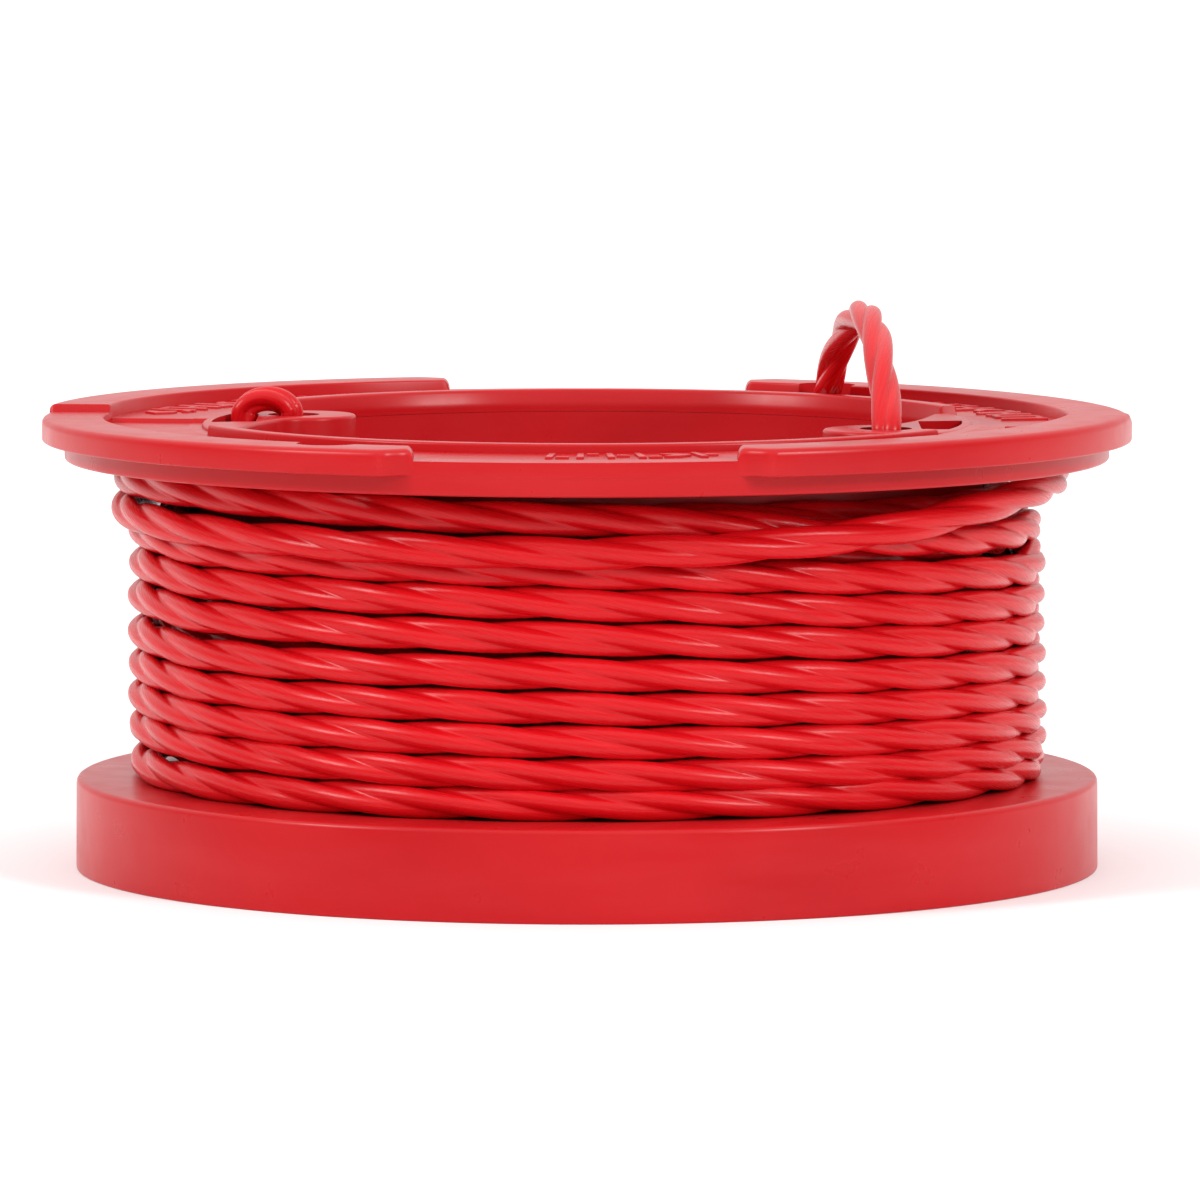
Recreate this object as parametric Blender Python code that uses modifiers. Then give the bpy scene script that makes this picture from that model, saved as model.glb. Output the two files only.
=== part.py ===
"""Spool of twisted line: two flanges on a drum, the wound line, and its two parked ends. Metres, +Z up."""

import math

import bmesh
import bpy
from mathutils import Vector

MM = 0.001
STEPS = 72  # facets round each turned piece
GAP = 0.3  # clearance between pieces that touch, mm

# Driving dimensions, mm. Radii are from the spool's axis, heights from the face it stands on.
BORE_R = 23.1
DRUM_R = 24.3
DRUM_TOP = 26.2
LINE_D = 2.03

LOWER_R = 31.35
LOWER_H = 5.6
SKIRT_T = 1.5
PLATE_T = 1.4
RIB_COUNT = 12
RIB_T = 1.1
EDGE = 0.2  # rounding of the flange edges

FLANGE_R = 33.4
LIP_R = 32.0
LIP_BOTTOM = 25.1
BAND_BOTTOM = 26.27
RIM_IN_R = 29.5
COLLAR_R = 24.4
COLLAR_TOP = 27.67
FLOOR_LOW = 27.0
FLOOR_RISE = 0.25
RIM_UP_LOW = 0.65
RIM_UP_RISE = 0.18

# Azimuths in degrees, counter-clockwise from +X. Each pair repeats half a turn on.
STEP_AZ = -6.5
DRAFT_AZ = 0.4
GAP_AZ = (72.3, 105.3)
COLLAR_AZ = (20.0, 150.0)

LUG_Y = -6.4
LUG_TIP_X = 14.3
LUG_R = 3.3
LUG_TOP = 27.3
LUG_BOTTOM = 21.3
LUG_HOLE = (18.15, -6.15)
LUG_HOLE_R = 1.6
WEB = ((18.6, -2.6), (19.6, -0.6), (20.6, 2.6), (21.4, 6.4))  # flare from the tab's side to the bore
SLOT_X = 20.3
SLOT_Y = (-6.9, 0.6)
SLOT_OUT_R = 23.0
RIM_HOLE = (15.2, 25.4)
RIM_HOLE_R = 1.9

INNER_LAYER_R = (24.6, 26.05)
OUTER_LAYER_R = (26.35, 28.1)
OUTER_LAYER_TOP = 20.1
TOP_TURNS_R = (26.35, 29.5)
LAYERS_TOP = 24.8
END_LOOP_UP = 5.95
END_LOOP_BOW = 0.5
END_LOOP_POWER = 2.15  # 2 makes the arch a parabola, and more makes its top flatter
END_FOOT = (18.25, -6.4)
ANCHOR_IN_HOLE = (-18.35, 5.75)
ANCHOR_IN_SLOT = (-21.3, 5.6)
ANCHOR_UP = 1.02
ANCHOR_D = 1.65

RED = (0.72, 0.02, 0.025)
LINE_RED = (0.80, 0.03, 0.04)


def collection(name):
    made = bpy.data.collections.new(name)
    bpy.context.scene.collection.children.link(made)
    return made


def material(name, colour, roughness):
    made = bpy.data.materials.new(name)
    made.use_nodes = True
    shader = made.node_tree.nodes["Principled BSDF"]
    shader.inputs["Base Color"].default_value = (*colour, 1.0)
    shader.inputs["Roughness"].default_value = roughness
    shader.inputs["Metallic"].default_value = 0.0
    made.diffuse_color = (*colour, 1.0)
    return made


def add_object(name, bm, home, skin=None):
    """A mesh object from bm, whose coordinates are in mm."""
    bmesh.ops.scale(bm, vec=(MM, MM, MM), verts=bm.verts)
    mesh = bpy.data.meshes.new(name)
    bm.to_mesh(mesh)
    bm.free()
    made = bpy.data.objects.new(name, mesh)
    home.objects.link(made)
    if skin:
        mesh.materials.append(skin)
    return made


def helper(made):
    made.hide_render = True
    made.display_type = "WIRE"
    return made


def boolean(target, other, operation):
    made = target.modifiers.new(operation.title(), "BOOLEAN")
    made.operation = operation
    made.solver = "EXACT"
    made.object = other


def turned(name, profile, home, skin):
    """A closed profile of (radius, height) in mm, down its outer side first, turned about Z."""
    bm = bmesh.new()
    corners = [bm.verts.new((r, 0.0, z)) for r, z in profile]
    for a, b in zip(corners, corners[1:] + corners[:1]):
        bm.edges.new((a, b))
    made = add_object(name, bm, home, skin)
    screw = made.modifiers.new("Screw", "SCREW")
    screw.axis = "Z"
    screw.steps = STEPS
    screw.render_steps = STEPS
    screw.use_merge_vertices = True
    screw.merge_threshold = 0.00001
    return made


def polar(radius, azimuth, height):
    angle = math.radians(azimuth)
    return (radius * math.cos(angle), radius * math.sin(angle), height)


def loft_ring(sections):
    """A closed ring through (azimuth, profile) sections, all with the same count of corners."""
    bm = bmesh.new()
    rings = [[bm.verts.new(polar(r, azimuth, z)) for r, z in profile] for azimuth, profile in sections]
    for here, there in zip(rings, rings[1:] + rings[:1]):
        for i, corner in enumerate(here):
            j = (i + 1) % len(here)
            bm.faces.new((corner, here[j], there[j], there[i]))
    bmesh.ops.remove_doubles(bm, verts=bm.verts, dist=0.001)
    bmesh.ops.recalc_face_normals(bm, faces=bm.faces)
    return bm


def between(azimuth, span):
    return span[0] < azimuth % 180.0 < span[1]


def flange_section(azimuth, floor, has_rim, has_collar):
    """Outline of the upper flange at one azimuth, from the bore's lower edge round to the drum's socket."""
    rim_top = floor + RIM_UP_LOW + RIM_UP_RISE * (floor - FLOOR_LOW) / FLOOR_RISE if has_rim else floor
    outer = FLANGE_R if has_rim else LIP_R
    collar = COLLAR_TOP if has_collar else floor
    socket = DRUM_TOP + GAP
    return (azimuth, [
        (BORE_R, socket),
        (BORE_R, collar),
        (COLLAR_R, collar),
        (COLLAR_R, floor),
        (RIM_IN_R, floor),
        (RIM_IN_R, rim_top),
        (outer - (EDGE if has_rim else 0.0), rim_top),
        (outer, rim_top - (EDGE if has_rim else 0.0)),
        (outer, BAND_BOTTOM),
        (LIP_R, BAND_BOTTOM),
        (LIP_R, LIP_BOTTOM),
        (DRUM_R + GAP, LIP_BOTTOM),
        (DRUM_R + GAP, socket),
    ])


def flange_sections():
    """Half a turn of ramp, rising counter-clockwise, repeated. Features start and stop over a narrow draft."""
    breaks = [*GAP_AZ, *COLLAR_AZ]
    regular = [STEP_AZ + 180.0 * i / (STEPS // 2) for i in range(STEPS // 2)]
    regular.append(STEP_AZ + 180.0 - DRAFT_AZ)
    plain = [a for a in regular if min(abs(a - b) for b in breaks) > 1.0]
    drafts = [b + side * DRAFT_AZ / 2 for b in breaks for side in (-1, 1)]
    sections = []
    for half in (0.0, 180.0):
        for azimuth in sorted(plain + drafts):
            floor = FLOOR_LOW + FLOOR_RISE * (azimuth - STEP_AZ) / 180.0
            has_rim = not between(azimuth, GAP_AZ)
            has_collar = between(azimuth, COLLAR_AZ)
            sections.append(flange_section(azimuth + half, floor, has_rim, has_collar))
    return sections


def extruded(name, outline, low, high, home):
    """A prism of an (x, y) outline in mm, counter-clockwise, between two heights."""
    bm = bmesh.new()
    face = bm.faces.new([bm.verts.new((x, y, low)) for x, y in outline])
    top = bmesh.ops.extrude_face_region(bm, geom=[face])
    moved = [v for v in top["geom"] if isinstance(v, bmesh.types.BMVert)]
    bmesh.ops.translate(bm, vec=(0.0, 0.0, high - low), verts=moved)
    bmesh.ops.recalc_face_normals(bm, faces=bm.faces)
    return helper(add_object(name, bm, home))


def half_turned(outline):
    return [(-x, -y) for x, y in outline]


def round_outline(centre, radius, sides=20):
    x, y = centre
    turns = [2.0 * math.pi * i / sides for i in range(sides)]
    return [(x + radius * math.cos(a), y + radius * math.sin(a)) for a in turns]


def lug_outline():
    """A tab that starts inside the flange's wall, flares on one side, and ends in a half circle."""
    root = BORE_R + 0.6
    centre_x = LUG_TIP_X + LUG_R
    tip = [
        (centre_x + LUG_R * math.cos(a), LUG_Y + LUG_R * math.sin(a))
        for a in (math.pi / 2 + math.pi * i / 12 for i in range(13))
    ]
    sides = (LUG_Y - LUG_R, (LUG_Y - LUG_R) / 2, 0.0, WEB[-1][1] / 2, WEB[-1][1] + 1.2)
    return tip + [(math.sqrt(root ** 2 - y ** 2), y) for y in sides] + list(reversed(WEB))


def slot_outline():
    """A D whose straight side is towards the axis and whose far side follows the bore."""
    y_low, y_high = SLOT_Y
    rows = [y_low + (y_high - y_low) * i / 8 for i in range(9)]
    arc = [(math.sqrt(SLOT_OUT_R ** 2 - y ** 2), y) for y in rows]
    return [(SLOT_X, y_high), (SLOT_X, y_low)] + arc


def tube(name, points, radius, home, skin):
    """A round tube with closed ends along points in mm."""
    curve = bpy.data.curves.new(name, "CURVE")
    curve.dimensions = "3D"
    curve.bevel_depth = radius * MM
    curve.bevel_resolution = 2
    curve.use_fill_caps = True
    spline = curve.splines.new("POLY")
    spline.points.add(len(points) - 1)
    for target, point in zip(spline.points, points):
        target.co = (*(c * MM for c in point), 1.0)
    curve.materials.append(skin)
    made = bpy.data.objects.new(name, curve)
    home.objects.link(made)
    return made


def smooth_path(knots, count):
    """Evenly counted points on a Catmull-Rom curve through the knots."""
    padded = [knots[0] * 2 - knots[1], *knots, knots[-1] * 2 - knots[-2]]
    points = []
    for k in range(count + 1):
        place = k / count * (len(knots) - 1)
        i = min(int(place), len(knots) - 2)
        t = place - i
        a, b, c, d = padded[i : i + 4]
        points.append(0.5 * (2 * b + (c - a) * t + (2 * a - 5 * b + 4 * c - d) * t ** 2
                             + (3 * b - a - 3 * c + d) * t ** 3))
    return points


def floor_at(x, y):
    azimuth = (math.degrees(math.atan2(y, x)) - STEP_AZ) % 180.0
    return FLOOR_LOW + FLOOR_RISE * azimuth / 180.0


def make_lower_flange(parts, cutters, skin):
    hub_r = BORE_R + SKIRT_T
    inside_r = LOWER_R - SKIRT_T
    plate = LOWER_H - PLATE_T
    made = turned("lower_flange", [
        (LOWER_R - EDGE, LOWER_H),
        (LOWER_R, LOWER_H - EDGE),
        (LOWER_R, EDGE),
        (LOWER_R - EDGE, 0.0),
        (inside_r, 0.0),
        (inside_r, plate),
        (hub_r, plate),
        (hub_r, 0.0),
        (BORE_R, 0.0),
        (BORE_R, LOWER_H),
    ], parts, skin)
    for i in range(RIB_COUNT):
        azimuth = math.radians(360.0 * (i + 0.5) / RIB_COUNT)
        along = Vector((math.cos(azimuth), math.sin(azimuth)))
        across = Vector((-along.y, along.x))
        corners = [(hub_r - 0.5, -1), (inside_r + 0.5, -1), (inside_r + 0.5, 1), (hub_r - 0.5, 1)]
        outline = [tuple(along * r + across * side * RIB_T / 2) for r, side in corners]
        boolean(made, extruded(f"rib_{i + 1}", outline, 0.8, plate + 0.5, cutters), "UNION")
    return made


def make_drum(parts, cutters, skin):
    made = turned("drum", [
        (DRUM_R, DRUM_TOP),
        (DRUM_R, LOWER_H + GAP),
        (BORE_R, LOWER_H + GAP),
        (BORE_R, DRUM_TOP),
    ], parts, skin)
    x, y = ANCHOR_IN_SLOT
    window = [(x - 5.0, y - 1.6), (x, y - 1.6), (x, y + 2.6), (x - 5.0, y + 2.6)]
    boolean(made, extruded("line_window", window, DRUM_TOP - 5.4, DRUM_TOP + 1.0, cutters), "DIFFERENCE")
    return made


def make_upper_flange(parts, cutters, skin):
    made = add_object("upper_flange", loft_ring(flange_sections()), parts, skin)
    for side, turn in (("right", list), ("left", half_turned)):
        socket = DRUM_TOP + GAP
        tab = extruded(f"lug_{side}", turn(lug_outline()), LUG_BOTTOM, LUG_TOP, cutters)
        wall = helper(turned(f"lug_wall_{side}", [
            (BORE_R + 3.0, socket), (BORE_R + 3.0, LUG_BOTTOM - 1.0),
            (BORE_R - GAP, LUG_BOTTOM - 1.0), (BORE_R - GAP, socket),
        ], cutters, None))
        boolean(tab, wall, "DIFFERENCE")
        boolean(made, tab, "UNION")
        below, above = LUG_BOTTOM - 1.0, LUG_TOP + 3.0
        for label, outline in (
            ("hole", round_outline(LUG_HOLE, LUG_HOLE_R)),
            ("slot", slot_outline()),
            ("rim_hole", round_outline(RIM_HOLE, RIM_HOLE_R)),
        ):
            boolean(made, extruded(f"{label}_{side}", turn(outline), below, above, cutters), "DIFFERENCE")
    return made


def make_layers(parts, skin):
    bottom = LOWER_H + GAP
    layers = (
        ("line_inner_layer", INNER_LAYER_R, bottom, LAYERS_TOP),
        ("line_outer_layer", OUTER_LAYER_R, bottom, OUTER_LAYER_TOP),
        ("line_top_turns", TOP_TURNS_R, OUTER_LAYER_TOP + GAP, LAYERS_TOP),
    )
    for name, (inner, outer), low, high in layers:
        turned(name, [(outer, high), (outer, low), (inner, low), (inner, high)], parts, skin)


def make_end_loop(parts, skin):
    """The sprung arch from the rim hole to the right tab's hole. Its empty is on the line through its feet."""
    start = Vector((*RIM_HOLE, floor_at(*RIM_HOLE)))
    end = Vector((*END_FOOT, LUG_TOP))
    knots = [start - Vector((0.0, 0.0, 0.8)), start]
    for share in (0.06, 0.18, 0.34, 0.5, 0.66, 0.82, 0.94):
        up = END_LOOP_UP * (1.0 - abs(2.0 * share - 1.0) ** END_LOOP_POWER)
        bow = END_LOOP_BOW * math.sin(math.pi * share)
        knots.append(start.lerp(end, share) + Vector((bow, 0.0, up)))
    knots += [end, end - Vector((0.0, 0.0, 0.8))]
    pivot = bpy.data.objects.new("end_loop_pivot", None)
    pivot.location = start * MM
    parts.objects.link(pivot)
    bpy.context.view_layer.update()
    made = tube("line_end_loop", smooth_path(knots, 32), LINE_D / 2, parts, skin)
    made.parent = pivot
    made.matrix_parent_inverse = pivot.matrix_world.inverted()


def make_fixed_ends(parts, skin):
    """The lead up to the rim hole, the tail in the right tab's hole, and the hairpin in the left tab."""
    x, y = RIM_HOLE
    top = floor_at(x, y) - 1.15
    tube("line_riser", [Vector((x, y, top)), Vector((x, y, LAYERS_TOP + GAP))], LINE_D / 2, parts, skin)

    x, y = END_FOOT
    tube("line_tail", [Vector((x, y, LUG_TOP - 1.15)), Vector((x, y, LUG_BOTTOM))], LINE_D / 2, parts, skin)

    hole = Vector((*ANCHOR_IN_HOLE, LUG_TOP))
    slot = Vector((*ANCHOR_IN_SLOT, LUG_TOP))
    middle = (hole + slot) / 2
    span = (slot - hole) / 2
    down = Vector((0.0, 0.0, 1.0))
    turns = [math.pi * i / 6 for i in range(7)]
    arch = [middle - span * math.cos(a) + down * ANCHOR_UP * math.sin(a) for a in turns]
    out = Vector((slot.x, slot.y, 0.0)).normalized()
    lead = [slot - down * 1.8, slot - down * 3.2 + out * 0.5, slot - down * 4.1 + out * 1.9]
    tube("line_anchor_loop", smooth_path([hole - down * 4.5, hole - down * 2.0, *arch, *lead], 30),
         ANCHOR_D / 2, parts, skin)


def main():
    for old in list(bpy.data.objects):
        bpy.data.objects.remove(old, do_unlink=True)
    parts = collection("wound_line_spool")
    cutters = collection("cutters")
    cutters.hide_render = True
    moulded = material("moulded_red", RED, 0.42)
    strand = material("line_red", LINE_RED, 0.2)
    make_lower_flange(parts, cutters, moulded)
    make_drum(parts, cutters, moulded)
    make_upper_flange(parts, cutters, moulded)
    make_layers(parts, strand)
    make_fixed_ends(parts, strand)
    make_end_loop(parts, strand)
    bpy.context.view_layer.update()


main()
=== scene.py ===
"""The looks of the wound line spool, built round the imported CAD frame. Heights and radii below are in mm."""

import math

import bmesh
import bpy
import numpy as np
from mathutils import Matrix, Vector


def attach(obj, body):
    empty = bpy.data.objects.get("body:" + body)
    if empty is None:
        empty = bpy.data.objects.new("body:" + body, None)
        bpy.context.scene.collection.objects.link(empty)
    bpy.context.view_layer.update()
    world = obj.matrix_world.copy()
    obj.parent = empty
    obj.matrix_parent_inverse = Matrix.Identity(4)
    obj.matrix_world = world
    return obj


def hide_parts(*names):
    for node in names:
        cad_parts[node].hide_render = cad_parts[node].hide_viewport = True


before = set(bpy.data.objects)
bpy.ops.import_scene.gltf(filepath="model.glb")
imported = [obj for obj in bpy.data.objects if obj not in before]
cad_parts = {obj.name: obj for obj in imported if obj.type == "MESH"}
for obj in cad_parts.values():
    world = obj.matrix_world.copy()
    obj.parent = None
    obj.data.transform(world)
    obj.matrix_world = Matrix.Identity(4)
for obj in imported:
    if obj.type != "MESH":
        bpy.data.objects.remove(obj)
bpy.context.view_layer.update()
MM = 0.001

# Camera, in metres: in front, and looking down by about 5 degrees at a point just below mid height.
CAMERA_AT = (0.0, -0.633, 0.0725)
CAMERA_AIM = (0.0008, 0.0, 0.0163)
CAMERA_LENS = 310.5

# Brightness of the studio towards the camera's side, the sides, the back and the ceiling.
ROOM_FRONT = 0.16
ROOM_SIDE = 0.24
ROOM_BACK = 0.85
ROOM_CEILING = 1.3
ROOM_STRENGTH = 1.05
# Soft lights: the direction each comes from, its spread in degrees and its strength.
SUNS = {
    "key_left": ((-0.92, -0.42, 0.62), 14.0, 1.3),
    "key_right": ((0.75, -0.66, 0.5), 14.0, 1.35),
    "front": ((-0.1, -1.0, 0.4), 60.0, 0.42),
}

# Colours, in linear red, green and blue: deep, usual and pale. On the mouldings the pale tone also paints
# highlights along sharp edges.
MOULDED_TONES = ((0.43, 0.003, 0.006), (0.475, 0.004, 0.007), (0.54, 0.03, 0.034))
MOULDED_ROUGHNESS = (0.27, 0.34)
LINE_TONES = ((0.48, 0.003, 0.006), (0.59, 0.004, 0.008), (0.66, 0.010, 0.015))
LINE_PATCH_TONE = (0.50, 0.004, 0.007)
# How deep light goes under the skin of both plastics, in metres.
LIGHT_DEPTH = 0.0006

# Meshes: the angle above which an edge stays sharp, and the points on small curves.
SHARP_ANGLE = 38.0
FILLET_STEPS = 5
HOLE_SIDES = 40

# Mouldings. Azimuths are in degrees from +X, and the upper flange's shape comes again after 180.
BORE_R = 23.1
DRUM_R = 24.3
LOWER_R = 31.35
LOWER_H = 5.6
SKIRT_T = 1.5
PLATE_T = 1.4
RIB_COUNT = 12
RIB_T = 1.1
RIB_BOTTOM = 0.8
FLANGE_R = 33.36
LIP_R = 32.0
LIP_BOTTOM = 25.1
BAND_BOTTOM = 26.27
RIM_IN_R = 29.5
COLLAR_R = 24.4
COLLAR_UP = 0.54
FLOOR_LOW = 27.0
FLOOR_RISE = 0.25
RIM_UP_LOW = 0.65
RIM_UP_HIGH = 0.83
STEP_AZ = -6.5
GAP_X = (10.15, -8.8)
COLLAR_AZ = (20.0, 150.0)
SEAM_Z = 26.9
FLANGE_FOOT = SEAM_Z - 0.6
DRUM_TOP = SEAM_Z - 0.62
# The slope at the ends of a collar, and how far round the square ends of a gap move the rim's points.
DRAFT_AZ = 0.35
GAP_EASE_AZ = 14.0
# Beside a gap: the rounding where the rim rises, and the length over which the band grows out of the lip.
SHOULDER_R = 0.5
CORNER_RUN = 2.4
LEAD_IN = 0.3
# The smallest step left where the rim or a collar dies away. With 0.002 the Booleans lost the flange.
SLIVER = 0.02

# Anchor tabs.
LUG_Y = -6.4
LUG_TIP_X = 14.3
LUG_R = 3.3
LUG_EDGE = 0.22
LUG_TOP = 27.3
LUG_BOTTOM = 21.3
LUG_HOLE = (18.15, -6.15)
LUG_HOLE_R = 1.6
WEB = ((18.6, -2.6), (19.1, -1.7), (19.6, -0.6), (20.1, 0.8), (20.6, 2.6), (21.0, 4.4), (21.4, 6.4))
SLOT_X = 20.3
SLOT_Y = (-6.9, 0.6)
SLOT_OUT_R = 23.0
RIM_HOLE = (15.2, 25.4)
RIM_HOLE_R = 1.9

# Raised marks: the azimuths they cover, their spacing and their height.
MARK_SPANS = ((9.0, 42.0), (84.0, 104.0), (109.0, 166.0), (264.5, 286.5), (334.0, 351.0))
MARK_STEP = 3.6
MARK_UP = 0.15
MARK_SUNK = 0.12
MARK_W = 0.42
SPOKE_R = (26.0, 28.9)
ARC_R = (28.6, 26.3, 27.5)
ARC_AZ = 1.6
ARC_STEPS = 6
ARROW_R = 27.6
ARROW_SIZE = 0.9
ARROW_W = 0.75

# Line: its strands, and how far their centres lie from its axis, as a share of its radius.
LINE_D = 2.03
LOBES = 3
LAY = 22.2
LOBE_CENTRE = 0.40

# Winding. The hidden layer goes down the drum, and the outer one comes back up. Outer turns are counted
# from their first pass across the front (azimuth 270).
BOTTOM_Z = 6.62
LAYER_1_R = 25.4
LAYER_1_TURNS = 7.71
LAYER_1_PITCH = 2.25
LAYER_1_START_AZ = 165.0
LAYER_1_POINTS = 120
OUTER_START = -0.583
LAST_TURN = 9.3
OUTER_POINTS = 200
# Heights of the outer layer's turns at the left (azimuth 180), the front and the right (azimuth 0).
AT_LEFT = (BOTTOM_Z, 8.7, 10.55, 12.4, 14.4, 16.6, 18.6, 20.65)
AT_FRONT = (BOTTOM_Z, 8.35, 10.33, 12.3, 14.37, 16.4, 18.4, 20.35)
AT_RIGHT = (BOTTOM_Z, 8.0, 9.7, 11.5, 13.4, 15.3, 17.1, 19.1)
# The last two turns: one climbs to the top and dives under, and one rides over it and out to the rim.
LAST_HEIGHTS = (
    (7.75, 23.95), (8.0, 23.45), (8.05, 22.95), (8.1, 21.95), (8.15, 21.3), (8.25, 21.0),
    (8.4, 21.35), (8.5, 21.75), (8.6, 21.95), (8.75, 22.12), (8.88, 21.85), (9.0, 21.6),
    (9.06, 21.9), (9.11, 22.55), (9.15, 23.3), (9.2, 23.85), (9.25, 24.0), (9.3, 24.0),
)
TURN_RADII = (
    (-0.6, 25.3), (-0.4, 27.1), (6.0, 27.1), (7.25, 27.1), (7.5, 27.2), (7.75, 28.0), (8.0, 27.7),
    (8.14, 27.1), (8.25, 26.97), (8.32, 27.4), (8.4, 28.6), (8.5, 29.0), (8.6, 28.8), (8.75, 28.2),
    (9.0, 28.5), (9.06, 28.7), (9.12, 28.95), (9.2, 28.7), (9.25, 28.6), (9.3, 28.9),
)
# How far the winding wanders up or down, and in or out.
WANDER_UP = 0.06
WANDER_OUT = 0.07

# The ends of the line. A phase turns the strands about the line's axis, in radians.
ANCHOR_IN_HOLE = (-18.35, 5.75)
ANCHOR_IN_SLOT = (-21.3, 5.6)
ANCHOR_UP = 1.02
ANCHOR_SQUASH = 0.8
END_FOOT = (18.25, -6.4)
END_LOOP_UP = 5.95
END_LOOP_BOW = 0.5
END_LOOP_POWER = 2.15
END_LOOP_SCALE = 0.97
END_LOOP_PHASE = 0.4
TAIL_PHASE = 1.1
TAIL_STEP = 0.25


# ---------------------------------------------------------------- materials


def shader_of(name):
    made = bpy.data.materials.new(name)
    made.use_nodes = True
    return made, made.node_tree, made.node_tree.nodes["Principled BSDF"]


def node(tree, kind, **values):
    made = tree.nodes.new(kind)
    for key, value in values.items():
        if key in made.inputs:
            made.inputs[key].default_value = value
        else:
            setattr(made, key, value)
    return made


def noise(tree, coordinates, scale, detail=4.0, stretch=(1.0, 1.0, 1.0), rough=0.5):
    mapping = node(tree, "ShaderNodeMapping")
    mapping.inputs["Scale"].default_value = stretch
    tree.links.new(coordinates, mapping.inputs["Vector"])
    made = node(tree, "ShaderNodeTexNoise", Scale=scale, Detail=detail, Roughness=rough)
    tree.links.new(mapping.outputs["Vector"], made.inputs["Vector"])
    return made.outputs["Fac"]


def ramp(tree, source, stops):
    made = node(tree, "ShaderNodeValToRGB")
    tree.links.new(source, made.inputs["Fac"])
    elements = made.color_ramp.elements
    while len(elements) < len(stops):
        elements.new(0.5)
    for element, (place, colour) in zip(elements, stops):
        element.position = place
        element.color = (*colour, 1.0) if isinstance(colour, tuple) else (colour, colour, colour, 1.0)
    return made.outputs["Color"]


def mix(tree, factor, a, b):
    made = tree.nodes.new("ShaderNodeMix")
    made.data_type = "RGBA"
    for socket, value in ((made.inputs[0], factor), (made.inputs[6], a), (made.inputs[7], b)):
        if isinstance(value, bpy.types.NodeSocket):
            tree.links.new(value, socket)
        elif isinstance(value, tuple):
            socket.default_value = (*value, 1.0)
        else:
            socket.default_value = value
    return made.outputs[2]


def bump(tree, shader, height, strength, distance, normal=None):
    made = node(tree, "ShaderNodeBump", Strength=strength, Distance=distance)
    tree.links.new(height, made.inputs["Height"])
    if normal is not None:
        tree.links.new(normal, made.inputs["Normal"])
    tree.links.new(made.outputs["Normal"], shader.inputs["Normal"])
    return made.outputs["Normal"]


def light_under(shader, gloss, share, spread):
    """How much the skin shines, and how much light goes under it and spreads there."""
    shader.inputs["Specular IOR Level"].default_value = gloss
    shader.inputs["Subsurface Weight"].default_value = share
    shader.inputs["Subsurface Radius"].default_value = spread
    shader.inputs["Subsurface Scale"].default_value = LIGHT_DEPTH


def moulded_red():
    """Satin moulded plastic: flow marks, fine grain, faint handling scuffs, and a painted highlight that makes
    sharp edges paler.
    """
    made, tree, shader = shader_of("moulded_red")
    place = node(tree, "ShaderNodeTexCoord").outputs["Object"]
    cloud = noise(tree, place, 60.0, 3.0)
    flow = noise(tree, place, 240.0, 5.0, (0.35, 0.35, 2.4))
    grain = noise(tree, place, 3000.0, 2.0)
    deep, fair, pale = MOULDED_TONES
    colour = ramp(tree, cloud, [(0.3, deep), (0.55, fair), (0.8, fair)])
    streak = ramp(tree, flow, [(0.45, 0.0), (0.8, 0.22)])
    colour = mix(tree, streak, colour, pale)
    # Painted highlight: Pointiness mixes the pale tone onto sharp edges and fillets, standing in for light
    # caught by rounded edges.
    edge = node(tree, "ShaderNodeNewGeometry").outputs["Pointiness"]
    painted_edge_highlight = ramp(tree, edge, [(0.515, 0.0), (0.56, 0.25)])
    colour = mix(tree, painted_edge_highlight, colour, pale)
    tree.links.new(colour, shader.inputs["Base Color"])
    low, high = MOULDED_ROUGHNESS
    gloss = ramp(tree, noise(tree, place, 420.0, 3.0), [(0.3, low), (0.72, high)])
    tree.links.new(gloss, shader.inputs["Roughness"])
    soft = bump(tree, shader, flow, 0.03, 0.0001)
    bump(tree, shader, grain, 0.03, 0.00003, soft)
    light_under(shader, 0.22, 0.05, (0.6, 0.05, 0.03))
    return made


def line_red():
    """Glossy extruded line: streaks and drawn scratches that follow the twist of its strands."""
    made, tree, shader = shader_of("line_red")
    coordinates = node(tree, "ShaderNodeTexCoord").outputs["UV"]
    streak = noise(tree, coordinates, 6.0, 5.0, (0.12, 9.0, 1.0), 0.6)
    patch = noise(tree, coordinates, 0.35, 3.0)
    deep, fair, pale = LINE_TONES
    colour = ramp(tree, streak, [(0.3, deep), (0.52, fair), (0.8, pale)])
    colour = mix(tree, ramp(tree, patch, [(0.4, 0.0), (0.75, 0.35)]), colour, LINE_PATCH_TONE)
    tree.links.new(colour, shader.inputs["Base Color"])
    scratch = noise(tree, coordinates, 14.0, 6.0, (0.2, 14.0, 1.0), 0.7)
    tree.links.new(ramp(tree, scratch, [(0.3, 0.2), (0.75, 0.34)]), shader.inputs["Roughness"])
    bump(tree, shader, scratch, 0.14, 0.00005)
    light_under(shader, 0.24, 0.08, (0.6, 0.06, 0.04))
    return made


def paper_white():
    made, tree, shader = shader_of("studio_floor")
    place = node(tree, "ShaderNodeTexCoord").outputs["Object"]
    colour = ramp(tree, noise(tree, place, 9.0), [(0.3, (0.88, 0.88, 0.88)), (0.7, (0.9, 0.9, 0.9))])
    tree.links.new(colour, shader.inputs["Base Color"])
    shader.inputs["Roughness"].default_value = 0.9
    return made


# ---------------------------------------------------------------- curves


def smooth_step(t):
    t = max(0.0, min(1.0, t))
    return t * t * (3.0 - 2.0 * t)


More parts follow.
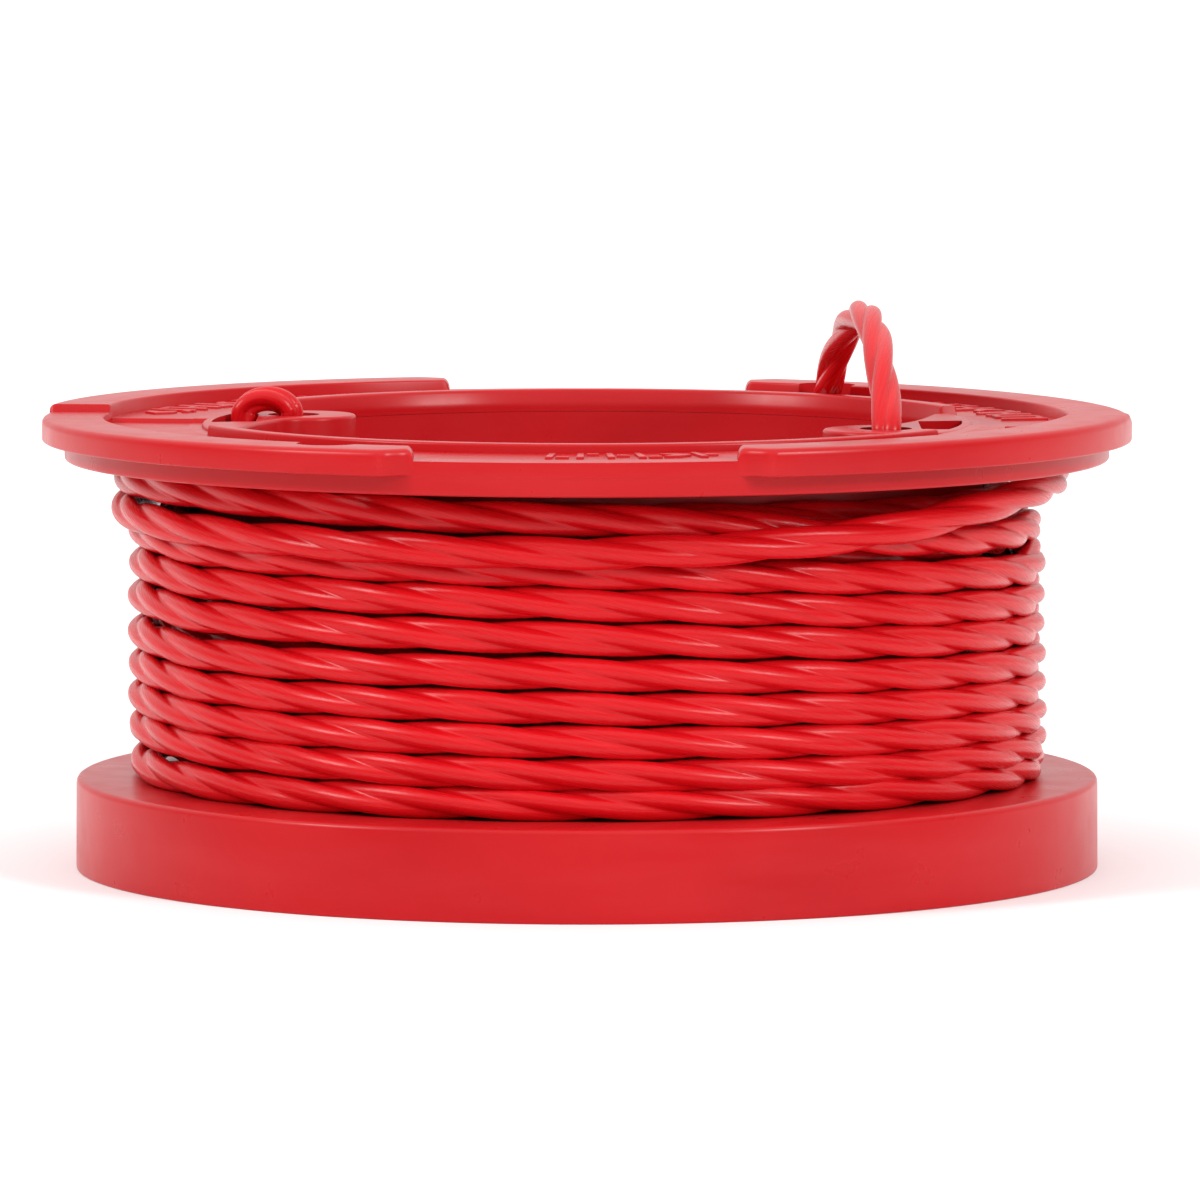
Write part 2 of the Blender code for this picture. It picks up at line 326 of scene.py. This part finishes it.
def through(knots, value):
    """A smooth curve through (place, number) knots."""
    places = [k for k, _ in knots]
    i = max(0, min(len(knots) - 2, int(np.searchsorted(places, value)) - 1))
    (a, x), (b, y) = knots[i], knots[i + 1]
    before = knots[i - 1][1] if i > 0 else 2 * x - y
    after = knots[i + 2][1] if i + 2 < len(knots) else 2 * y - x
    t = max(0.0, min(1.0, (value - a) / (b - a)))
    return 0.5 * (2 * x + (y - before) * t + (2 * before - 5 * x + 4 * y - after) * t * t
                  + (3 * x - before - 3 * y + after) * t ** 3)


def catmull(knots, per_span):
    """Points on a smooth curve through knots."""
    padded = [knots[0] * 2 - knots[1], *knots, knots[-1] * 2 - knots[-2]]
    points = []
    for i in range(len(knots) - 1):
        a, b, c, d = padded[i : i + 4]
        for k in range(per_span):
            t = k / per_span
            points.append(0.5 * (2 * b + (c - a) * t + (2 * a - 5 * b + 4 * c - d) * t ** 2
                                 + (3 * b - a - 3 * c + d) * t ** 3))
    points.append(knots[-1].copy())
    return points


# ---------------------------------------------------------------- mesh helpers


def mesh_object(name, vertices, faces):
    """An object made from points in mm. It isn't in the scene yet."""
    mesh = bpy.data.meshes.new(name)
    mesh.from_pydata((np.array(vertices) * MM).tolist(), [], faces)
    return bpy.data.objects.new(name, mesh)


def moulding(name, vertices, faces, skin, replaced=()):
    """A smooth-shaded piece of the spool, from points in mm."""
    made = mesh_object(name, vertices, faces)
    bpy.context.scene.collection.objects.link(made)
    finish_mesh(made, skin)
    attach(made, "spool")
    if replaced:
        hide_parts(*replaced)
    return made


def finish_mesh(made, skin):
    bm = bmesh.new()
    bm.from_mesh(made.data)
    bmesh.ops.remove_doubles(bm, verts=bm.verts, dist=0.000002)
    bmesh.ops.recalc_face_normals(bm, faces=bm.faces)
    bm.to_mesh(made.data)
    bm.free()
    made.data.shade_smooth()
    made.data.set_sharp_from_angle(angle=math.radians(SHARP_ANGLE))
    made.data.materials.clear()
    made.data.materials.append(skin)


def ring_faces(rows, count, joined=True):
    """Quads between rows of `count` points. Each row is a closed ring, and the last may join the first."""
    faces = []
    for i in range(rows if joined else rows - 1):
        a, b = i * count, ((i + 1) % rows) * count
        for k in range(count):
            m = (k + 1) % count
            faces.append((a + k, a + m, b + m, b + k))
    return faces


def fillet(corner, before, after, radius):
    """Points of a rounded corner, where before and after are the corner's neighbours."""
    corner, before, after = (np.array(p, float) for p in (corner, before, after))
    start = corner + radius * (before - corner) / np.linalg.norm(before - corner)
    stop = corner + radius * (after - corner) / np.linalg.norm(after - corner)
    shares = np.linspace(0.0, 1.0, FILLET_STEPS)
    return [tuple((1 - t) ** 2 * start + 2 * t * (1 - t) * corner + t ** 2 * stop) for t in shares]


def rounded_profile(corners):
    """Points along a closed (radius, height) outline whose corners are (r, z, rounding)."""
    points = []
    for i, (r, z, rounding) in enumerate(corners):
        before, after = corners[i - 1][:2], corners[(i + 1) % len(corners)][:2]
        if rounding > 0.0:
            points += fillet((r, z), before, after, rounding)
        else:
            points.append((r, z))
    return points


def polar(radius, azimuth, height):
    angle = math.radians(azimuth)
    return (radius * math.cos(angle), radius * math.sin(angle), height)


def lathe(profiles, shift=lambda azimuth, radius: 0.0):
    """Points and faces of a closed ring through (azimuth, profile) sections of equal length."""
    vertices = [polar(r, azimuth + shift(azimuth, r), z) for azimuth, profile in profiles for r, z in profile]
    return vertices, ring_faces(len(profiles), len(profiles[0][1]))


def turned(profile, sides):
    """Points and faces of a plain ring with one profile all round."""
    return lathe([(360.0 / sides * i, profile) for i in range(sides)])


def rounded_prism(outline, low, high, rounding, steps=4):
    """A prism of an (x, y) outline with its top edge rounded, as points and faces."""
    area = sum(a[0] * b[1] - a[1] * b[0] for a, b in zip(outline, outline[1:] + outline[:1]))
    points = [Vector(p) for p in (outline if area > 0 else outline[::-1])]
    count = len(points)
    inward = []
    for i, here in enumerate(points):
        one = (here - points[i - 1]).normalized()
        two = (points[(i + 1) % count] - here).normalized()
        left = Vector((-one.y, one.x)) + Vector((-two.y, two.x))
        inward.append(left.normalized() / max(0.5, left.length / 2))
    levels = [(low, 0.0)]
    for i in range(steps + 1):
        turn = math.pi / 2 * i / steps
        levels.append((high - rounding * (1 - math.sin(turn)), rounding * (1 - math.cos(turn))))
    vertices = [(p.x + n.x * d, p.y + n.y * d, z) for z, d in levels for p, n in zip(points, inward)]
    faces = ring_faces(len(levels), count, joined=False)
    faces.append(tuple(range(count))[::-1])
    faces.append(tuple((len(levels) - 1) * count + k for k in range(count)))
    return vertices, faces


def plain_prism(name, outline, low, high):
    """A prism for a Boolean, with next to no rounding."""
    return mesh_object(name, *rounded_prism(outline, low, high, 0.0001, 1))


def combine(target, others, operation, skin):
    """Applies Booleans with helper objects, which are then removed."""
    for other in others:
        bpy.context.scene.collection.objects.link(other)
        bm = bmesh.new()
        bm.from_mesh(other.data)
        bmesh.ops.recalc_face_normals(bm, faces=bm.faces)
        bm.to_mesh(other.data)
        bm.free()
        made = target.modifiers.new("Boolean", "BOOLEAN")
        made.operation = operation
        made.solver = "EXACT"
        made.object = other
    bpy.context.view_layer.update()
    graph = bpy.context.evaluated_depsgraph_get()
    mesh = bpy.data.meshes.new_from_object(target.evaluated_get(graph))
    target.modifiers.clear()
    old = target.data
    target.data = mesh
    mesh.name = target.name
    bpy.data.meshes.remove(old)
    for other in others:
        bpy.data.meshes.remove(other.data)
    finish_mesh(target, skin)


def half_turned(outline):
    """The same outline on the other side of the axis."""
    return [(-x, -y) for x, y in outline]


def circle(centre, radius):
    x, y = centre
    angles = [2.0 * math.pi / HOLE_SIDES * i for i in range(HOLE_SIDES)]
    return [(x + radius * math.cos(a), y + radius * math.sin(a)) for a in angles]


# ---------------------------------------------------------------- mouldings


def climbed(azimuth):
    """Degrees round from the last step in the floor."""
    return (azimuth - STEP_AZ) % 180.0


def floor_at(azimuth):
    """Height of the upper flange's ramped floor, which rises through each half turn."""
    return FLOOR_LOW + FLOOR_RISE * climbed(azimuth) / 180.0


def gap_edge(which, radius):
    """Azimuth of one end of the gap in the rim. Its ends are parallel, so this changes with the radius."""
    return math.degrees(math.acos(GAP_X[which] / radius))


def gap_shift(azimuth, radius):
    """How far a rim point moves round, so that the ends of the gap stay parallel."""
    if radius < RIM_IN_R - 0.5:
        return 0.0
    moved = 0.0
    for which in (0, 1):
        edge = gap_edge(which, FLANGE_R)
        weight = smooth_step(1.0 - abs(azimuth % 180.0 - edge) / GAP_EASE_AZ)
        moved += weight * (gap_edge(which, radius) - edge)
    return moved


def inside(azimuth, span, draft):
    """1 inside a span of azimuths, 0 outside, with a smooth change over the draft."""
    here = azimuth % 180.0
    return max(0.0, min(1.0, 0.5 + min(here - span[0], span[1] - here) / draft))


def flange_profile(azimuth):
    """The upper flange's outline at one azimuth."""
    floor = floor_at(azimuth)
    here = azimuth % 180.0
    low, high = gap_edge(0, FLANGE_R), gap_edge(1, FLANGE_R)
    past = max(low - here, here - high) * math.pi / 180.0 * FLANGE_R
    shoulder = math.sqrt(max(0.0, 1.0 - (1.0 - min(1.0, max(0.0, past) / SHOULDER_R)) ** 2))
    share = climbed(azimuth) / 180.0
    rim_up = RIM_UP_LOW + (RIM_UP_HIGH - RIM_UP_LOW) * share
    rim_top = floor + SLIVER + rim_up * shoulder
    outer = LIP_R + SLIVER + (FLANGE_R - LIP_R) * smooth_step(past / CORNER_RUN)
    collar = inside(azimuth, COLLAR_AZ, DRAFT_AZ)
    collar_top = floor + SLIVER + (FLOOR_LOW + FLOOR_RISE / 2 + COLLAR_UP - floor) * collar
    soft = min(0.45, 0.6 * (rim_top - floor))
    edge = min(0.16, 0.4 * (collar_top - floor))
    return rounded_profile([
        (BORE_R, FLANGE_FOOT, 0.0),
        (BORE_R, SEAM_Z - 0.15, 0.2),
        (BORE_R + LEAD_IN, collar_top, 0.2),
        (COLLAR_R, collar_top, edge),
        (COLLAR_R + 0.04, floor, 0.0),
        (RIM_IN_R, floor, 0.0),
        (RIM_IN_R + 0.12, rim_top, min(0.14, 0.3 * (rim_top - floor))),
        (outer, rim_top, soft),
        (outer, BAND_BOTTOM, min(0.14, 0.4 * (outer - LIP_R))),
        (LIP_R + SLIVER / 2, BAND_BOTTOM - 0.02, 0.0),
        (LIP_R, BAND_BOTTOM - 0.16, 0.0),
        (LIP_R, LIP_BOTTOM, 0.22),
        (DRUM_R + 0.1, LIP_BOTTOM, 0.0),
        (DRUM_R + 0.1, FLANGE_FOOT, 0.0),
    ])


def flange_azimuths():
    """Even steps round half a turn, with close ones where a feature starts or stops."""
    places = set(np.round(np.arange(STEP_AZ, STEP_AZ + 180.0 - DRAFT_AZ, 1.0), 3))
    places.add(STEP_AZ + 180.0 - DRAFT_AZ)
    for edge in COLLAR_AZ:
        places |= {round(edge + d * DRAFT_AZ, 3) for d in (-0.5, -0.25, 0.0, 0.25, 0.5)}
    for which, side in ((0, -1), (1, 1)):
        edge = gap_edge(which, FLANGE_R)
        runs = [0.0, 0.01, 0.04, 0.1, 0.18, 0.28, 0.4, 0.55]
        runs += [runs[-1] + CORNER_RUN * i / 10 for i in range(1, 10)]
        places |= {round(edge + side * math.degrees(run / FLANGE_R), 3) for run in runs}
    return sorted(places)


def lug_outline():
    """An anchor tab in plan: a round tip, a root inside the bore's wall, and the web beside it."""
    root = BORE_R + 0.5
    centre_x = LUG_TIP_X + LUG_R
    tip = [
        (centre_x + LUG_R * math.cos(a), LUG_Y + LUG_R * math.sin(a))
        for a in (math.pi / 2 + math.pi * i / 24 for i in range(25))
    ]
    low, high = LUG_Y - LUG_R, WEB[-1][1] + 1.2
    sides = [low + (high - low) * i / 10 for i in range(11)]
    return tip + [(math.sqrt(root ** 2 - y ** 2), y) for y in sides] + list(reversed(WEB))


def slot_outline():
    """The D-shaped slot in plan: a straight side, a small corner and an arc along the bore's wall."""
    y_low, y_high = SLOT_Y
    rows = [y_low + (y_high - y_low) * i / 12 for i in range(13)]
    arc = [(math.sqrt(SLOT_OUT_R ** 2 - y ** 2), y) for y in rows]
    straight = [(SLOT_X, y_high - 0.5), (SLOT_X, y_low + 0.5)]
    corner = [(SLOT_X + 0.15, y_low + 0.15), (SLOT_X + 0.5, y_low)]
    return straight + corner + arc


def make_upper_flange(skin):
    sections = []
    for half in (0.0, 180.0):
        for azimuth in flange_azimuths():
            sections.append((azimuth + half, flange_profile(azimuth)))
    made = moulding("flange_with_ramps", *lathe(sections, gap_shift), skin, replaced=["upper_flange"])
    tabs, holes = [], []
    for turn in (list, half_turned):
        tabs.append(mesh_object("tab", *rounded_prism(turn(lug_outline()), LUG_BOTTOM, LUG_TOP, LUG_EDGE)))
        for outline in (circle(LUG_HOLE, LUG_HOLE_R), slot_outline(), circle(RIM_HOLE, RIM_HOLE_R)):
            holes.append(plain_prism("hole", turn(outline), LUG_BOTTOM - 1.0, LUG_TOP + 3.0))
    combine(made, tabs, "UNION", skin)
    combine(made, holes, "DIFFERENCE", skin)


def make_drum(skin):
    bottom = LOWER_H + 0.02
    profile = rounded_profile([
        (DRUM_R, DRUM_TOP, 0.15),
        (DRUM_R, bottom, 0.0),
        (BORE_R, bottom, 0.0),
        (BORE_R, DRUM_TOP, 0.0),
    ])
    made = moulding("core_drum", *turned(profile, 180), skin, replaced=["drum"])
    x, y = ANCHOR_IN_SLOT
    window = [(x - 5.0, y - 1.6), (x, y - 1.6), (x, y + 2.6), (x - 5.0, y + 2.6)]
    combine(made, [plain_prism("window", window, DRUM_TOP - 5.4, DRUM_TOP + 1.0)], "DIFFERENCE", skin)


def make_lower_flange(skin):
    hub_r, inside_r, plate = BORE_R + SKIRT_T, LOWER_R - SKIRT_T, LOWER_H - PLATE_T
    profile = rounded_profile([
        (LOWER_R, LOWER_H, 0.38),
        (LOWER_R + 0.03, 0.0, 0.13),
        (inside_r, 0.0, 0.15),
        (inside_r - 0.1, plate, 0.5),
        (hub_r + 0.1, plate, 0.5),
        (hub_r, 0.0, 0.15),
        (BORE_R, 0.0, 0.2),
        (BORE_R, LOWER_H, 0.0),
    ])
    made = moulding("base_flange", *turned(profile, 240), skin, replaced=["lower_flange"])
    ribs = []
    for i in range(RIB_COUNT):
        azimuth = math.radians(360.0 * (i + 0.5) / RIB_COUNT)
        along = Vector((math.cos(azimuth), math.sin(azimuth)))
        across = Vector((-along.y, along.x))
        corners = [(hub_r - 0.5, -1), (inside_r + 0.5, -1), (inside_r + 0.5, 1), (hub_r - 0.5, 1)]
        outline = [tuple(along * r + across * s * RIB_T / 2) for r, s in corners]
        ribs.append(plain_prism("rib", outline, RIB_BOTTOM, plate + 0.5))
    combine(made, ribs, "UNION", skin)


# ---------------------------------------------------------------- raised marks


def arc_bar(radius, azimuth, span, width):
    """The outline of a short bar along an arc, in plan."""
    steps = [azimuth - span / 2 + span * i / ARC_STEPS for i in range(ARC_STEPS + 1)]
    outer = [polar(radius + width / 2, a, 0.0)[:2] for a in steps]
    inner = [polar(radius - width / 2, a, 0.0)[:2] for a in reversed(steps)]
    return outer + inner


def chevron(radius, azimuth, size, width):
    """The outline of an arrowhead that points counter-clockwise."""
    corners = [(-size, size), (0.0, size), (size, 0.0), (0.0, -size), (-size, -size), (width - size, 0.0)]
    outline = []
    for along, out in corners:
        outline.append(polar(radius + out, azimuth + math.degrees(along / radius), 0.0)[:2])
    return outline


def spoke_bar(azimuth, inner, outer, width):
    """The outline of a bar that points outwards, in plan."""
    half = math.degrees(width / 2 / ((inner + outer) / 2))
    corners = ((inner, -1), (outer, -1), (outer, 1), (inner, 1))
    return [polar(r, azimuth + side * half, 0.0)[:2] for r, side in corners]


def make_marks(skin):
    """Plain raised bars and arrowheads round the floor of the flange, where a moulding carries its marks."""
    outlines = []
    for start, stop in MARK_SPANS:
        count = int((stop - start) / MARK_STEP)
        for i in range(count):
            azimuth = start + (stop - start) * (i + 0.5) / count
            if i % 5 == 4:
                outlines.append((chevron(ARROW_R, azimuth, ARROW_SIZE, ARROW_W), azimuth))
                continue
            outlines.append((spoke_bar(azimuth - 0.8, *SPOKE_R, MARK_W), azimuth))
            outlines.append((arc_bar(ARC_R[i % 3], azimuth + 0.75, ARC_AZ, MARK_W), azimuth))
    vertices, faces = [], []
    for outline, azimuth in outlines:
        floor = floor_at(azimuth)
        more, quads = rounded_prism(outline, floor - MARK_SUNK, floor + MARK_UP, 0.06, 2)
        faces += [tuple(k + len(vertices) for k in quad) for quad in quads]
        vertices += more
    moulding("raised_marks", vertices, faces, skin)


# ---------------------------------------------------------------- the line


def turn_heights():
    """(turn, height) knots: each turn is level across the front, and steps up to the next at the back."""
    knots = [(OUTER_START - 0.02, BOTTOM_Z)]
    for k, (left, front, right) in enumerate(zip(AT_LEFT, AT_FRONT, AT_RIGHT)):
        knots += [(k - 0.25, left), (k - 0.16, left), (k, front), (k + 0.17, right), (k + 0.25, right)]
    return knots + list(LAST_HEIGHTS)


def wander(turns, seed, size):
    """Slow unevenness along the winding."""
    return size * (math.sin(2.3 * turns + seed) + 0.6 * math.sin(5.1 * turns + 2.1 * seed)
                   + 0.4 * math.sin(11.7 * turns + 0.7 * seed)) / 2.0


def winding_path():
    """Centreline of the wound line, from the drum's window down, back up, and out by the rim's hole."""
    points = []
    for i in range(int(LAYER_1_TURNS * LAYER_1_POINTS)):
        turn = i / LAYER_1_POINTS
        height = BOTTOM_Z + LAYER_1_PITCH * (LAYER_1_TURNS - turn)
        radius = LAYER_1_R - 1.2 * (1.0 - smooth_step(turn / 0.04))
        points.append(polar(radius, LAYER_1_START_AZ + 360.0 * turn, height))
    heights = turn_heights()
    count = int((LAST_TURN - OUTER_START) * OUTER_POINTS)
    for i in range(count + 1):
        turn = OUTER_START + (LAST_TURN - OUTER_START) * i / count
        loose = smooth_step((turn + 0.2) / 0.5) * (1.0 - smooth_step((turn - 9.0) / 0.3))
        height = through(heights, turn) + wander(turn, 1.3, WANDER_UP) * loose
        radius = through(TURN_RADII, turn) + wander(turn, 4.2, WANDER_OUT) * loose
        points.append(polar(radius, 270.0 + 360.0 * turn, height))
    x, y = RIM_HOLE
    hole_az = math.degrees(math.atan2(y, x))
    hole_r = math.hypot(x, y)
    knots = [
        Vector(points[-9]), Vector(points[-1]),
        Vector(polar(hole_r - 0.5, hole_az - 12.0, 23.9)),
        Vector(polar(hole_r - 0.25, hole_az - 6.0, 24.15)),
        Vector(polar(hole_r - 0.05, hole_az - 2.0, 24.75)),
        Vector(polar(hole_r, hole_az, 26.0)),
        Vector(polar(hole_r, hole_az, 26.9)),
    ]
    lead = catmull(knots, 8)
    return [Vector(p) for p in points] + lead[9:]


def strand_radius(angle, scale):
    """Radius of the lobed section: rounded strands that meet in narrow grooves."""
    pitch = 2.0 * math.pi / LOBES
    off = (angle % pitch) - pitch / 2
    centre = LOBE_CENTRE * LINE_D / 2
    strand = LINE_D / 2 - centre
    inner = strand ** 2 - (centre * math.sin(off)) ** 2
    return scale * (centre * math.cos(off) + math.sqrt(max(inner, 0.0)))


def twisted_tube(name, path, skin, replaced, body="spool", around=48, phase=0.0, scale=1.0):
    """A lobed, twisted tube along a path in mm. Its UVs run along and round the strands."""
    points = np.array([tuple(p) for p in path], float)
    steps = np.linalg.norm(np.diff(points, axis=0), axis=1)
    along = np.concatenate([[0.0], np.cumsum(steps)])
    tangents = np.gradient(points, axis=0)
    tangents /= np.linalg.norm(tangents, axis=1)[:, None]
    side = np.cross(tangents[0], (0.0, 0.0, 1.0) if abs(tangents[0][2]) < 0.9 else (0.0, 1.0, 0.0))
    angles = np.arange(around) * 2.0 * math.pi / around
    radii = np.array([strand_radius(a + math.pi / LOBES, scale) for a in angles])
    rows = []
    count = len(points)
    for i in range(count):
        side = side - tangents[i] * float(np.dot(side, tangents[i]))
        side /= np.linalg.norm(side)
        up = np.cross(tangents[i], side)
        turn = phase + 2.0 * math.pi * along[i] / LAY
        spoke = np.outer(np.cos(angles + turn), side) + np.outer(np.sin(angles + turn), up)
        rows.append(points[i] + spoke * radii[:, None])
    rows = end_cap(rows[0], points[0], -tangents[0])[::-1] + rows
    rows += end_cap(rows[-1], points[-1], tangents[-1])
    total = len(rows)
    faces = ring_faces(total, around, joined=False)
    faces.append(tuple(range(around))[::-1])
    faces.append(tuple((total - 1) * around + k for k in range(around)))
    made = mesh_object(name, np.concatenate(rows), faces)
    bpy.context.scene.collection.objects.link(made)
    extra = (total - count) // 2
    length_at = np.concatenate([np.full(extra, along[0]), along, np.full(extra, along[-1])])
    add_strand_uvs(made.data, length_at, around)
    made.data.shade_smooth()
    made.data.materials.append(skin)
    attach(made, body)
    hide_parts(*replaced)
    return made


def end_cap(row, centre, outward):
    """Shrinking rows that round off a cut end."""
    return [
        centre + (row - centre) * math.cos(turn) + outward * 0.35 * math.sin(turn)
        for turn in (math.pi / 2 * s for s in (0.35, 0.65, 0.88))
    ]


def add_strand_uvs(mesh, length_at, around):
    """U is the length along the line in cm, and V the way round its section."""
    layer = mesh.uv_layers.new(name="strands")
    index = np.empty(len(mesh.loops), np.int32)
    mesh.loops.foreach_get("vertex_index", index)
    row, place = index // around, (index % around).astype(float)
    v = place / around
    starts = np.empty(len(mesh.polygons), np.int32)
    totals = np.empty(len(mesh.polygons), np.int32)
    mesh.polygons.foreach_get("loop_start", starts)
    mesh.polygons.foreach_get("loop_total", totals)
    owner = np.repeat(np.arange(len(starts)), totals)
    highest = np.zeros(len(starts))
    np.maximum.at(highest, owner, v)
    wraps = (highest[owner] > 0.9) & (v == 0.0) & (totals[owner] == 4)
    v[wraps] = 1.0
    uv = np.stack([length_at[row] / 10.0, v], axis=1).astype(np.float32)
    layer.data.foreach_set("uv", uv.ravel())


def anchor_path():
    """The hairpin from the left tab's hole over to its slot, and out through the drum's window."""
    hole, slot = Vector((*ANCHOR_IN_HOLE, LUG_TOP)), Vector((*ANCHOR_IN_SLOT, LUG_TOP))
    up = Vector((0.0, 0.0, 1.0))
    middle, span = (hole + slot) / 2, (slot - hole) / 2
    turns = (math.pi * i / 8 for i in range(9))
    arch = [middle - span * math.cos(a) + up * ANCHOR_UP * math.sin(a) for a in turns]
    out = Vector((slot.x, slot.y, 0.0)).normalized()
    lead = [slot - up * 1.8, slot - up * 3.0 + out * 0.4, slot - up * 3.75 + out * 1.9]
    return catmull([hole - up * 4.5, hole - up * 2.0, *arch, *lead], 5)


def end_loop_path():
    """The parked loop, from inside the rim's hole over to inside the right tab's hole."""
    hole_az = math.degrees(math.atan2(RIM_HOLE[1], RIM_HOLE[0]))
    start = Vector((*RIM_HOLE, floor_at(hole_az)))
    end = Vector((*END_FOOT, LUG_TOP))
    knots = [start - Vector((0.0, 0.0, 0.8)), start]
    for share in (0.06, 0.18, 0.34, 0.5, 0.66, 0.82, 0.94):
        up = END_LOOP_UP * (1.0 - abs(2.0 * share - 1.0) ** END_LOOP_POWER)
        bow = END_LOOP_BOW * math.sin(math.pi * share)
        knots.append(start.lerp(end, share) + Vector((bow, 0.0, up)))
    knots += [end, end - Vector((0.0, 0.0, 0.8))]
    return catmull(knots, 10)


def length_of(path):
    return sum((b - a).length for a, b in zip(path, path[1:]))


def make_line(skin):
    tail_foot = Vector((*END_FOOT, LUG_BOTTOM))
    tail_path = [tail_foot + Vector((0.0, 0.0, TAIL_STEP * i)) for i in range(20)]
    tail = twisted_tube("line_tail_end", tail_path, skin, ["line_tail"], phase=TAIL_PHASE)
    anchor = twisted_tube("anchor_hairpin", anchor_path(), skin, ["line_anchor_loop"], scale=ANCHOR_SQUASH)
    loop = twisted_tube("parked_loop", end_loop_path(), skin, ["line_end_loop"], body="end_loop",
                        phase=END_LOOP_PHASE, scale=END_LOOP_SCALE)
    path = winding_path()
    layers = ["line_inner_layer", "line_outer_layer", "line_top_turns", "line_riser"]
    wound = twisted_tube("wound_line", path, skin, layers, around=42)
    print("wound line, mm:", round(length_of(path)), "hairpin:", round(length_of(anchor_path()), 1),
          "end loop:", round(length_of(end_loop_path()), 1))


# ---------------------------------------------------------------- studio


def look_at(made, target):
    made.rotation_euler = (Vector(target) - made.location).to_track_quat("-Z", "Y").to_euler()


def sun(name, place, spread, strength):
    """A soft, distant light that shines from `place` towards the object."""
    data = bpy.data.lights.new(name, "SUN")
    data.angle = math.radians(spread)
    data.energy = strength
    made = bpy.data.objects.new(name, data)
    bpy.context.scene.collection.objects.link(made)
    made.location = place
    look_at(made, (0.0, 0.0, 0.0))


def make_world():
    """A white studio: a bright ceiling and back wall, and a dimmer room on the camera's side."""
    world = bpy.data.worlds.new("studio")
    world.use_nodes = True
    tree = world.node_tree
    background = tree.nodes["Background"]
    direction = node(tree, "ShaderNodeTexCoord").outputs["Generated"]
    split = node(tree, "ShaderNodeSeparateXYZ")
    tree.links.new(direction, split.inputs["Vector"])
    depth = node(tree, "ShaderNodeMapRange")
    depth.inputs["From Min"].default_value = -1.0
    tree.links.new(split.outputs["Y"], depth.inputs["Value"])
    room = ramp(tree, depth.outputs["Result"], [(0.0, ROOM_FRONT), (0.5, ROOM_SIDE), (0.8, ROOM_BACK)])
    lift = ramp(tree, split.outputs["Z"], [(0.3, 0.0), (0.75, 1.0)])
    room = mix(tree, lift, room, (ROOM_CEILING, ROOM_CEILING, ROOM_CEILING))
    seen = node(tree, "ShaderNodeLightPath").outputs["Is Camera Ray"]
    tree.links.new(mix(tree, seen, room, (1.0, 1.0, 1.0)), background.inputs["Color"])
    background.inputs["Strength"].default_value = ROOM_STRENGTH
    bpy.context.scene.world = world


def make_studio():
    mesh = bpy.data.meshes.new("studio_floor")
    mesh.from_pydata([(-9, -9, 0), (9, -9, 0), (9, 9, 0), (-9, 9, 0)], [], [(0, 1, 2, 3)])
    floor = bpy.data.objects.new("studio_floor", mesh)
    floor.data.materials.append(paper_white())
    bpy.context.scene.collection.objects.link(floor)
    make_world()
    for name, (place, spread, strength) in SUNS.items():
        sun(name, place, spread, strength)


def make_camera():
    data = bpy.data.cameras.new("camera")
    data.lens = CAMERA_LENS
    data.sensor_width = 36.0
    data.clip_start = 0.05
    camera = bpy.data.objects.new("camera", data)
    bpy.context.scene.collection.objects.link(camera)
    camera.location = CAMERA_AT
    look_at(camera, CAMERA_AIM)
    bpy.context.scene.camera = camera
    bpy.context.scene.view_settings.view_transform = "Standard"


def main():
    make_studio()
    make_camera()
    make_line(line_red())
    red = moulded_red()
    make_upper_flange(red)
    make_drum(red)
    make_lower_flange(red)
    make_marks(red)


main()
